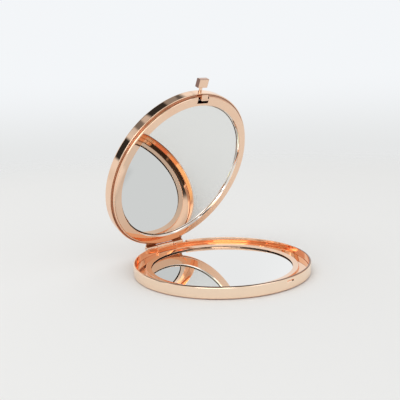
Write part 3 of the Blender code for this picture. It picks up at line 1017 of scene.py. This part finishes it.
@dataclass
class BarrelHinge:
    """The two leaves with their knuckles, and the pin."""

    base_metal: Material
    lid_metal: Material
    steel: Material
    opening: Opening = field(default_factory=Opening)
    knuckle_radius: float = 1.05 * MM
    bore_radius: float = 0.58 * MM
    pin_radius: float = 0.5 * MM
    pin_half: float = 10.05 * MM
    half: float = 9.9 * MM
    centre_half: float = 4.5 * MM
    knuckle_gap: float = 0.15 * MM
    leaf_out: float = 34.4 * MM
    leaf_in: float = 33.95 * MM
    leaf_steps: int = 24
    base_leaf_half: float = 5.3 * MM
    base_leaf_set_in: float = 0.3 * MM
    base_leaf_bottom: float = 1.8 * MM
    base_tab_bottom: float = 2.9 * MM
    base_tab_top: float = 3.35 * MM
    lid_tab_bottom: float = 4.45 * MM
    lid_tab_top: float = 4.9 * MM
    lid_leaf_top: float = 7.0 * MM
    plate_reach: float = 1.5 * MM
    overrun: float = 3.57 * MM
    lap: float = 0.05 * MM
    eased: float = 0.05 * MM

    def strip(self, name: str, half: float, heights: Sequence[float], set_in: float = 0.0) -> Piece:
        """Model a leaf that follows the inside of the wall.

        Args:
            name: its name.
            half: half its width.
            heights: its bottom and its top.
            set_in: how much further in it stands.

        Returns:
            The piece.
        """
        outer = self.leaf_out - set_in
        return Piece.bow(name, (self.leaf_in - set_in, outer), heights, math.asin(half / outer),
                         math.pi / 2, self.leaf_steps)

    def tube(self, name: str, radius: float, start: float, end: float) -> Piece:
        """Model a rod on the hinge axis: a knuckle, the pin or the cutter of its hole."""
        return Piece.rod(name, radius, (start, self.opening.y, self.opening.z), end - start, Along.X)

    def bore(self) -> Piece:
        """Model the cutter of the pin's hole."""
        reach = self.half + self.overrun
        return self.tube("bore", self.bore_radius, -reach, reach)

    def make_base_leaf(self) -> None:
        """Model the base's leaf, whose tab goes out to the centre knuckle."""
        leaf = self.strip("hinge_leaf_base", self.base_leaf_half,
                          (self.base_leaf_bottom, self.base_tab_top + self.lap), self.base_leaf_set_in)
        tab = Piece.block("tab", self.centre_half, (self.leaf_in - self.lap, self.opening.y),
                          (self.base_tab_bottom, self.base_tab_top))
        leaf.join(tab, self.tube("knuckle", self.knuckle_radius, -self.centre_half, self.centre_half))
        leaf.cut(self.bore()).ease(self.eased)
        leaf.place(Body.BASE, Slot.ROSE_GOLD, self.base_metal, "base_hinge_leaf")

    def make_lid_leaf(self) -> None:
        """Model the lid's leaf, whose plate goes out to the two outer knuckles."""
        below, above = self.lid_tab_bottom - self.lap, self.lid_tab_top + self.lap
        leaf = self.strip("hinge_leaf_lid", self.half, (below, self.lid_leaf_top))
        lift = self.lid_tab_bottom - self.opening.z
        clear = math.sqrt((self.knuckle_radius + self.knuckle_gap) ** 2 - lift ** 2)
        start = self.centre_half + self.knuckle_gap
        plate = Piece.block("plate", self.half - self.lap,
                            (self.leaf_in - self.plate_reach, self.opening.y),
                            (self.lid_tab_bottom, self.lid_tab_top))
        middle = (self.leaf_in + self.leaf_out) / 2
        inside = Piece.turned("inner_side", [Station(middle, below), Station(middle, above)])
        gap = Piece.block("gap", start + self.lap,
                          (self.opening.y - clear, self.opening.y + self.knuckle_gap), (below, above))
        plate.cut(inside, gap)
        leaf.join(plate, self.tube("knuckle_left", self.knuckle_radius, -self.half, -start),
                  self.tube("knuckle_right", self.knuckle_radius, start, self.half))
        leaf.cut(self.bore()).ease(self.eased).swing(self.opening)
        leaf.place(Body.LID, Slot.ROSE_GOLD, self.lid_metal, "lid_hinge_leaf")

    def make_pin(self) -> None:
        """Model the pin with its rounded ends."""
        limit = self.pin_half - 1 * UM
        pin = self.tube("pin", self.pin_radius, -self.pin_half, self.pin_half)
        pin.round_edges(self.pin_radius / 2, 4,
                        lambda a, b: min(a.x, b.x) > limit or max(a.x, b.x) < -limit)
        pin.place(Body.BASE, Slot.BRIGHT_STEEL, self.steel, "hinge_pin")

    def build(self) -> None:
        """Model the pieces in order."""
        self.make_base_leaf()
        self.make_lid_leaf()
        self.make_pin()


@dataclass
class PushLatch:
    """The button, its stem, the hook that it moves and the spring that pushes them back."""

    button_metal: Material
    metal: Material
    steel: Material
    opening: Opening = field(default_factory=Opening)
    height: float = 6.65 * MM
    button_half: float = 2.45 * MM
    button_near: float = 36.9 * MM
    button_far: float = 40.4 * MM
    button_depth: float = 1.9 * MM
    button_round: float = 0.2 * MM
    stem_radius: float = 0.65 * MM
    head_radius: float = 1.1 * MM
    stem_end: float = 38.2 * MM
    shoulder_front: float = 34.38 * MM
    shoulder_back: float = 33.63 * MM
    head_front: float = 32.83 * MM
    head_back: float = 32.53 * MM
    socket_end: float = 38.3 * MM
    hook_front: float = 33.53 * MM
    hook_back: float = 32.93 * MM
    hook_bottom: float = 2.75 * MM
    hook_top: float = 7.9 * MM
    stalk_half: float = 1.7 * MM
    foot_half: float = 2.05 * MM
    foot_depth: float = 0.75 * MM
    foot_corner: float = 0.7 * MM
    nose_half: float = 1.6 * MM
    nose_top: float = 3.5 * MM
    nose_end: float = 34.9 * MM
    nose_tip: float = 0.3 * MM
    spring_half: float = 7.5 * MM
    spring_front: float = 32.43 * MM
    spring_seat: float = 29.87 * MM
    spring_sheet: float = 0.2 * MM
    spring_bottom: float = 4.8 * MM
    spring_top: float = 6.2 * MM
    spring_steps: int = 28
    travel: float = 1.1 * MM
    gap: float = 0.1 * MM
    lap: float = 0.05 * MM
    near: float = 1 * UM
    overrun: float = 1.0 * MM
    eased: float = 0.06 * MM

    def make_button(self) -> None:
        """Model the block that is pressed, with the socket for its stem."""
        half = self.button_depth / 2
        button = Piece.block("button", self.button_half, (-self.button_far, -self.button_near),
                             (self.height - half, self.height + half))
        button.round_edges(self.button_round, 4, lambda a, b: True)
        button.cut(Piece.rod("socket", self.stem_radius + self.gap, (0, -self.socket_end, self.height),
                             self.socket_end - self.button_near + self.overrun, Along.Y))
        button.swing(self.opening)
        button.place(Body.BUTTON, Slot.ROSE_GOLD, self.button_metal, "push_button")

    def make_stem(self) -> None:
        """Model the stem with its shoulder and riveted head, turned upright and then laid down."""
        stem = Piece.turned("stem", [
            Station(self.stem_radius, self.stem_end),
            Station(self.stem_radius, self.shoulder_front),
            Station(self.head_radius, self.shoulder_front, self.eased, 2),
            Station(self.head_radius, self.shoulder_back),
            Station(self.stem_radius, self.shoulder_back),
            Station(self.stem_radius, self.head_front),
            Station(self.head_radius, self.head_front),
            Station(self.head_radius, self.head_back, (self.head_front - self.head_back) / 2, 4),
        ], steps=Piece.ROD_STEPS)
        stem.move(Matrix.Translation((0, 0, self.height)) @ Matrix.Rotation(math.pi / 2, 4, "X"))
        stem.swing(self.opening)
        stem.place(Body.BUTTON, Slot.ROSE_GOLD, self.metal, "button_stem")

    def make_hook(self) -> None:
        """Model the hook plate with its round-cornered foot and its nose."""
        low = self.hook_bottom + self.lap
        nose_low = low + self.lap
        back = -self.hook_front + self.foot_depth
        hook = Piece.block("hook", self.stalk_half, (-self.hook_front, -self.hook_back),
                           (low, self.hook_top))
        foot = Piece.block("foot", self.foot_half, (-self.hook_front + self.gap, back),
                           (self.hook_bottom, self.nose_top - self.lap))
        foot.round_edges(self.foot_corner, 8, lambda a, b: abs(a.y - back) < self.near
                         and abs(b.y - back) < self.near and abs(a.x - b.x) < self.near)
        nose = Piece.block("nose", self.nose_half,
                           (-self.nose_end, -(self.hook_front + self.hook_back) / 2),
                           (nose_low, self.nose_top))
        with nose.editing("EDGE"):
            nose.select_edges(lambda a, b: max(a.z, b.z) < self.nose_top - self.near
                              and max(a.y, b.y) < -self.nose_end + self.near)
            bpy.ops.transform.translate(value=(0, 0, self.nose_top - self.nose_tip - nose_low))
        hook.join(foot, nose)
        hook.cut(Piece.rod("hole", self.stem_radius + self.gap,
                           (0, -self.hook_front - self.overrun, self.height), 3 * self.overrun, Along.Y))
        hook.ease(self.eased).swing(self.opening)
        hook.place(Body.BUTTON, Slot.ROSE_GOLD, self.metal, "latch_hook")

    def make_spring(self) -> None:
        """Model the bowed leaf spring in its rest shape; the real one flattens as the button is pressed."""
        depth = self.spring_front - self.spring_seat
        radius = (self.spring_half ** 2 + depth ** 2) / (2 * depth)
        spring = Piece.bow("return_leaf", (radius - self.spring_sheet, radius),
                           (self.spring_bottom, self.spring_top),
                           math.asin(self.spring_half / radius), -math.pi / 2, self.spring_steps)
        spring.move(Matrix.Translation((0, radius - self.spring_front, 0))).swing(self.opening)
        spring.place(Body.LID, Slot.SPRING_STEEL, self.steel, "return_spring")
        turn = self.opening.matrix()
        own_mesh(spring.obj)

    def build(self) -> None:
        """Model the pieces in order."""
        self.make_button()
        self.make_stem()
        self.make_hook()
        self.make_spring()


@dataclass(frozen=True)
class Card:
    """A soft box or a dark flag far out in the room, which only polished surfaces show.

    Angles are in degrees. The azimuth goes from the back (+Y) towards the right (+X).
    """

    azimuth: float
    elevation: float
    half_width: float
    half_height: float
    soft: float
    level: float
    cast: tuple[float, float, float] = (1.0, 1.0, 1.0)

    @property
    def shade(self) -> tuple[float, ...]:
        """Return the card's colour."""
        return (*(self.level * part for part in self.cast), 1.0)

    def mask(self, azimuth: Signal, elevation: Signal) -> Signal:
        """Return 1 on the card and 0 beside it.

        Args:
            azimuth: the azimuth of a ray, in radians.
            elevation: its elevation, in radians.

        Returns:
            The mask.
        """
        aside = abs((azimuth - math.radians(self.azimuth)).math("WRAP", math.pi, -math.pi))
        above = abs(elevation - math.radians(self.elevation))
        width, height, soft = (math.radians(a) for a in (self.half_width, self.half_height, self.soft))
        return aside.over(width + soft, width - soft) * above.over(height + soft, height - soft)


@dataclass(frozen=True)
class Sky:
    """The room's colour: the lowest one, and those that it goes over to.

    Each change has the sines of the elevations where it starts and ends, and its colour.
    """

    lowest: Colour
    changes: tuple[tuple[float, float, Colour], ...]

    def paint(self, tree: NodeTree, height: Signal) -> Signal:
        """Paint the room.

        Args:
            tree: the world's tree.
            height: the sine of a ray's elevation.

        Returns:
            The colour.
        """
        colour: Any = self.lowest
        for start, end, upper in self.changes:
            colour = tree.blend(height.over(start, end), colour, upper)
        return colour


@dataclass
class Studio:
    """The pale table and room, the soft light and the camera."""

    lit: Colour = (0.88, 0.88, 0.88, 1.0)
    seen: Sky = Sky((0.79, 0.80, 0.80, 1.0), ((-0.12, 0.0, (0.90, 0.92, 0.94, 1.0)),))
    mirrored: Sky = Sky((0.80, 0.80, 0.79, 1.0), (
        (-0.05, 0.1, (0.88, 0.88, 0.88, 1.0)),
        (0.4, 0.8, (0.62, 0.62, 0.62, 1.0)),
        (0.87, 0.91, (0.08, 0.08, 0.08, 1.0)),
    ))
    cards: tuple[Card, ...] = (
        Card(-12, 52, 24, 22, 3, 0.035),
        Card(26, 56, 14, 18, 5, 0.30),
        Card(55, 69.5, 16, 13, 2.5, 0.12),
        Card(51.5, 49.5, 7, 4.5, 1.5, 0.95),
        Card(57, 30, 6, 14, 5, 1.03),
        Card(-50, 23, 5, 11, 2, 0.03),
        Card(-46.5, 50.5, 6, 4.3, 1.5, 0.20),
        Card(-90, 47, 28, 12, 6, 0.30),
        Card(-80, 15, 9, 8, 5, 0.60),
        Card(-74, 50.5, 18, 3.5, 1.5, 0.04),
        Card(-72, 30, 12, 3, 2, 0.85, (1.0, 0.50, 0.36)),
        Card(-165, 41, 7, 7, 5, 0.50),
        Card(160, 40, 18, 11, 5, 1.55),
        Card(127, 52.0, 5.5, 3.6, 0.5, 0.06),
        Card(129.7, 50.4, 2.9, 4.1, 0.4, 0.06),
        Card(129.6, 44.6, 1.9, 1.9, 0.4, 0.98),
        Card(121.8, 43.3, 5.2, 4.6, 0.4, 0.77),
        Card(124.5, 39.8, 7.5, 2.7, 0.4, 0.77),
        Card(138, 18, 13, 9, 5, 0.74),
        Card(103, 16, 24, 8, 6, 0.66, (1.0, 0.74, 0.60)),
        Card(-4, 12, 16, 3.6, 3, 0.70, (1.0, 0.66, 0.52)),
        Card(-176, 4, 7, 5, 3, 1.8),
        Card(-145, 45, 7, 9, 3, 1.8),
        Card(-115, 54, 20, 11, 3, 0.06),
        Card(-123, 23, 22, 14, 3, 2.1),
        Card(-125, 21.2, 21, 1.2, 0.6, 4.6),
        Card(-152, 22.0, 5, 0.6, 0.5, 2.6),
        Card(-128, 7.5, 24, 2.5, 1.5, 4.0),
        Card(-131, 13.7, 32, 2.4, 1.2, 0.68),
        Card(-140, 33.5, 34, 3, 1.5, 1.2, (1.0, 1.0, 0.72)),
        Card(-98, 31, 8, 2.6, 1.5, 1.1, (1.0, 0.67, 0.42)),
        Card(-138, 48, 12, 3.2, 1.2, 0.05),
    )
    floor_drop: float = 0.05 * MM
    floor_radius: float = 0.42
    floor_fade: float = 0.24
    floor_colour: Colour = (0.81, 0.81, 0.80, 1.0)
    lamp_place: tuple[float, float, float] = (-0.30, 0.05, 0.70)
    lamp_size: float = 0.8
    lamp_watts: float = 1.2
    mirror_bounces: int = 24
    diffuse_bounces: int = 4
    clear_bounces: int = 16
    sensor: float = 36.0
    clip: float = 10 * MM
    azimuth: float = math.radians(-42.4)
    elevation: float = math.radians(10.95)
    roll: float = math.radians(-1.53)
    distance: float = 0.2534
    focal: float = 647.2
    frame_width: float = 400.0
    aim: tuple[float, float, float] = (0.0, 0.0, 0.020)
    aim_pixels: tuple[float, float] = (21.0, 20.8)

    def make_floor(self) -> None:
        """Lay the table top, which fades into the room's colour far from the object."""
        floor = Piece.disc("table_top", self.floor_radius, -self.floor_drop, steps=128)
        made = bpy.data.materials.new("pale_table")
        made.use_nodes = True
        tree = NodeTree(made.node_tree)
        x, y, _ = tree.axes(tree.place())
        reach = (x * x + y * y).math("SQRT")
        paint = tree.node("ShaderNodeBsdfDiffuse", None, {"Color": self.floor_colour})
        clear = tree.node("ShaderNodeBsdfTransparent")
        mixed = tree.node("ShaderNodeMixShader", None,
                          {0: reach.over(self.floor_fade, self.floor_radius), 1: paint, 2: clear})
        tree.node("ShaderNodeOutputMaterial", None, {"Surface": mixed})
        floor.obj.data.materials.append(made)

    def light_room(self) -> None:
        """Give the room a pale colour for the camera, and soft boxes and flags that the metal mirrors."""
        world = bpy.data.worlds.new("studio_room")
        bpy.context.scene.world = world
        world.use_nodes = True
        tree = NodeTree(world.node_tree)
        x, y, z = tree.axes(tree.node("ShaderNodeTexCoord", output="Generated"))
        mirrored = self.mirrored.paint(tree, z)
        azimuth, elevation = x.math("ARCTAN2", y), z.math("ARCSINE")
        for card in self.cards:
            mirrored = tree.blend(card.mask(azimuth, elevation), mirrored, card.shade)
        rays = tree.node("ShaderNodeLightPath").socket.node
        glossy, camera, through = (Signal(tree, rays.outputs[f"Is {kind} Ray"])
                                   for kind in ("Glossy", "Camera", "Transmission"))
        colour = tree.blend(glossy.math("MAXIMUM", through), self.lit, mirrored)
        colour = tree.blend(camera, colour, self.seen.paint(tree, z))
        back = tree.node("ShaderNodeBackground", None, {"Color": colour, "Strength": 1.0})
        tree.node("ShaderNodeOutputWorld", None, {"Surface": back})

    def hang_lamp(self) -> None:
        """Hang the large soft lamp over the table, aimed at the middle of it."""
        lamp = bpy.data.lights.new("overhead", "AREA")
        lamp.shape = "DISK"
        lamp.size = self.lamp_size
        lamp.energy = self.lamp_watts
        holder = bpy.data.objects.new("overhead", lamp)
        bpy.context.scene.collection.objects.link(holder)
        holder.location = self.lamp_place
        holder.rotation_euler = (-Vector(self.lamp_place)).to_track_quat("-Z", "Y").to_euler()
        holder.visible_glossy = False
        holder.visible_camera = False

    def stand_camera(self) -> None:
        """Stand the camera where the photograph was taken from."""
        look = Vector((-math.sin(self.azimuth) * math.cos(self.elevation),
                       math.cos(self.azimuth) * math.cos(self.elevation), -math.sin(self.elevation)))
        level = Vector((math.cos(self.azimuth), math.sin(self.azimuth), 0))
        above = level.cross(look)
        right = level * math.cos(self.roll) + above * math.sin(self.roll)
        up = above * math.cos(self.roll) - level * math.sin(self.roll)
        pixel = self.distance / self.focal
        data = bpy.data.cameras.new("photo_camera")
        data.sensor_width = self.sensor
        data.lens = self.focal / self.frame_width * data.sensor_width
        data.clip_start = self.clip
        camera = bpy.data.objects.new("photo_camera", data)
        bpy.context.scene.collection.objects.link(camera)
        turn = Matrix((right, up, -look)).transposed().to_4x4()
        turn.translation = (Vector(self.aim) - look * self.distance - right * (self.aim_pixels[0] * pixel)
                            + up * (self.aim_pixels[1] * pixel))
        camera.matrix_world = turn
        bpy.context.scene.camera = camera

    def set_view(self) -> None:
        """Set the plain view transform and enough mirror bounces for a polished channel."""
        scene = bpy.context.scene
        scene.view_settings.view_transform = "Standard"
        scene.cycles.max_bounces = self.mirror_bounces
        scene.cycles.glossy_bounces = self.mirror_bounces
        scene.cycles.diffuse_bounces = self.diffuse_bounces
        scene.cycles.transparent_max_bounces = self.clear_bounces

    def build(self) -> None:
        """Set the studio up in order."""
        self.make_floor()
        self.light_room()
        self.hang_lamp()
        self.stand_camera()
        self.set_view()


def dress_packed(name: str, material: Material) -> None:
    """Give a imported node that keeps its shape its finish.

    Args:
        name: the node.
        material: the finish.
    """
    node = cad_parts[name]
    for place in node.material_slots:
        place.material = material
    LOG.info("%s: kept as packed, dressed in %s", name, material.name)


def main() -> None:
    """Build the pieces in order, then the studio round them."""
    logging.basicConfig(level=logging.INFO, format="%(message)s")
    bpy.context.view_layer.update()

    on_lid = Placement.on_lid(Opening())
    gold = RoseGoldPlate().build("rose_gold")
    steel = DrawnSteel().build("bright_steel")
    spring = DrawnSteel(colour=(0.42, 0.42, 0.44, 1.0), worn=(0.30, 0.30, 0.32, 1.0),
                        polish=0.28).build("spring_steel")
    foam = AdhesiveFoam().build("adhesive_foam")
    # painted shadow: a dark band on the lid mirror's edge next to the frame, towards the hinge
    painted_rim_shadow = Zone((0.15, 0.13, 0.10, 1.0), (Limit(Measure.REACH, 29.83, 29.88), Limit(Measure.BACK, 4, 12)))
    lid_glass = SilveredGlass(placement=on_lid, zones=(painted_rim_shadow,), silver=(0.88, 0.89, 0.88, 1.0),
                              ground=Limit(Measure.REACH, 29.95, 30.0))

    BaseCase(BasePlate().build("rose_gold_base"), SilveredGlass().build("silvered_glass_base")).build()
    LidCase(LidPlate(placement=on_lid).build("rose_gold_lid"),
            lid_glass.build("silvered_glass_lid")).build()
    BarrelHinge(gold, LeafPlate(placement=on_lid).build("rose_gold_leaf"), steel).build()
    PushLatch(ButtonPlate(placement=on_lid).build("rose_gold_button"), gold, spring).build()
    for pad in ("base_mirror_pad", "lid_mirror_pad"):
        dress_packed(pad, foam)
    Studio().build()
    Piece.clear_selection()


if __name__ == "__main__":
    main()
